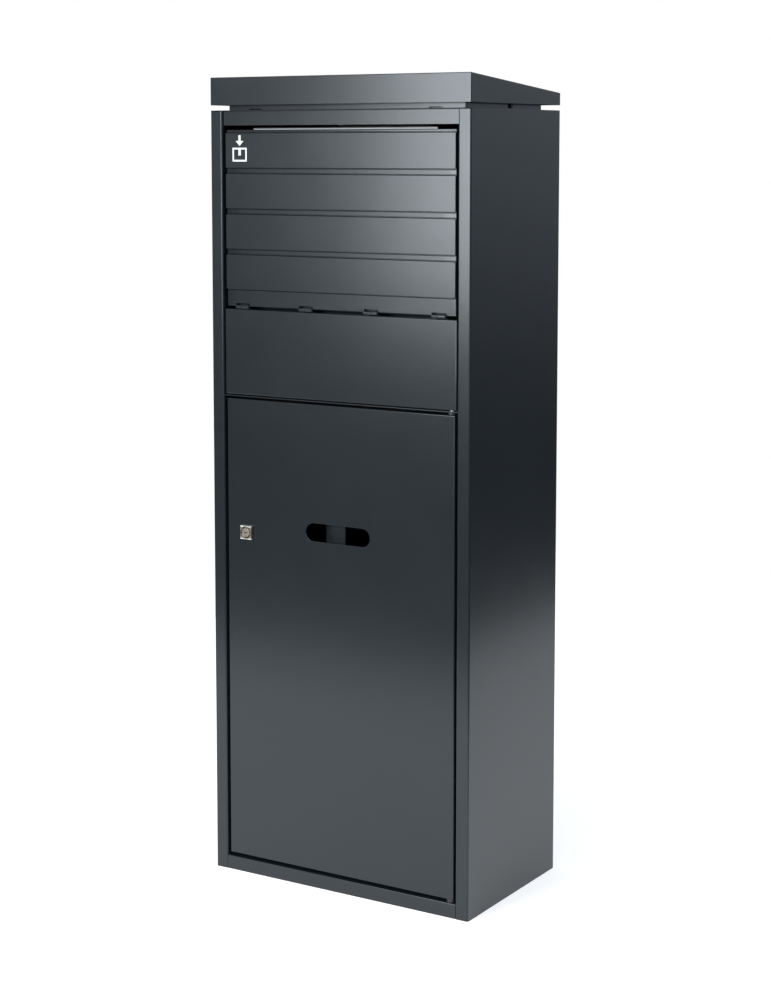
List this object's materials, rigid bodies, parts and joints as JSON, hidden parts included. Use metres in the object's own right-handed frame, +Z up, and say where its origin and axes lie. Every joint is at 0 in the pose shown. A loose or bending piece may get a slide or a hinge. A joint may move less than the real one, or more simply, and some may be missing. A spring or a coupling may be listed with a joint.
{
  "type": "parcel locker",
  "caption": "Free-standing steel parcel locker with a slatted drop-in hatch at the top and a lockable collection door below, under a sloping roof.",
  "frame": {"origin": "middle of the footprint, on the floor", "axes": "+X to the right seen from the front, the front faces -Y, +Z up"},
  "size_m": [0.45, 0.273, 1.2192],
  "materials": {
    "powder_coat": "satin anthracite powder coat, fine texture",
    "zinc_steel": "zinc plated",
    "lock_nickel": "satin nickel",
    "nylon": "black nylon",
    "rubber": "matt",
    "black_plastic": "moulded",
    "black_screw": "black oxide",
    "circuit_board": "solder mask",
    "battery_wrap": "printed wrap, plain",
    "cable_jacket": "PVC jacket"
  },
  "bodies": {
    "cabinet": {"left_side_panel": "powder_coat", "right_side_panel": "powder_coat", "back_panel": "powder_coat", "base_pan": "powder_coat", "top_plate": "powder_coat", "top_rail": "powder_coat", "roof_neck": "powder_coat", "neck_screws": "zinc_steel", "neck_nuts": "zinc_steel", "roof_cap": "powder_coat", "roof_brackets": "zinc_steel", "roof_screws": "black_screw", "middle_panel": "powder_coat", "panel_spacers": "nylon", "panel_screws": "zinc_steel", "panel_nuts": "zinc_steel", "door_header": "powder_coat", "hatch_buffers": "rubber", "frame_hinge_leaves": "powder_coat", "hatch_hinge_pins": "zinc_steel", "door_pivot_pins": "zinc_steel", "door_pivot_washers": "nylon", "door_stops": "powder_coat", "door_buffers": "rubber", "latch_housing": "black_plastic", "latch_motor": "zinc_steel", "latch_screws": "zinc_steel", "controller_case": "black_plastic", "controller_cover": "black_plastic", "circuit_board": "circuit_board", "battery_cells": "battery_wrap", "case_screws": "zinc_steel", "latch_cable": "cable_jacket", "cable_clips": "nylon"},
    "hatch": {"hatch_pan": "powder_coat", "top_slat": "powder_coat", "upper_slats": "powder_coat", "bottom_slat": "powder_coat", "slat_rivets": "zinc_steel", "grip_lip": "powder_coat", "left_cheek": "powder_coat", "right_cheek": "powder_coat", "hatch_tail": "powder_coat", "hatch_hinge_leaves": "powder_coat", "stop_pins": "zinc_steel"},
    "door": {"door_pan": "powder_coat", "grip_plate": "powder_coat", "door_stiffeners": "zinc_steel", "door_pivot_bushes": "nylon", "lock_housing": "lock_nickel", "lock_nut": "zinc_steel"},
    "door_lock": {"lock_plug": "lock_nickel", "lock_cam": "zinc_steel", "cam_screw": "zinc_steel"},
    "latch_bolt": {"latch_bolt": "zinc_steel"}
  },
  "joints": [
    {"name": "hatch_hinge", "type": "hinge", "parent": "cabinet", "child": "hatch", "pos_m": [0, -0.13, 0.8766], "axis": [1, 0, 0], "range_deg": [0, 60]},
    {"name": "door_hinge", "type": "hinge", "parent": "cabinet", "child": "door", "pos_m": [0.1915, -0.125, 0.38175], "axis": [0, 0, 1], "range_deg": [0, 105]},
    {"name": "lock_turn", "type": "hinge", "parent": "door", "child": "door_lock", "pos_m": [-0.1637, -0.125, 0.5338], "axis": [0, 1, 0], "range_deg": [0, 90]},
    {"name": "bolt_slide", "type": "slide", "parent": "cabinet", "child": "latch_bolt", "axis": [0, 0, -1], "range_m": [0, 0.012]}
  ]
}
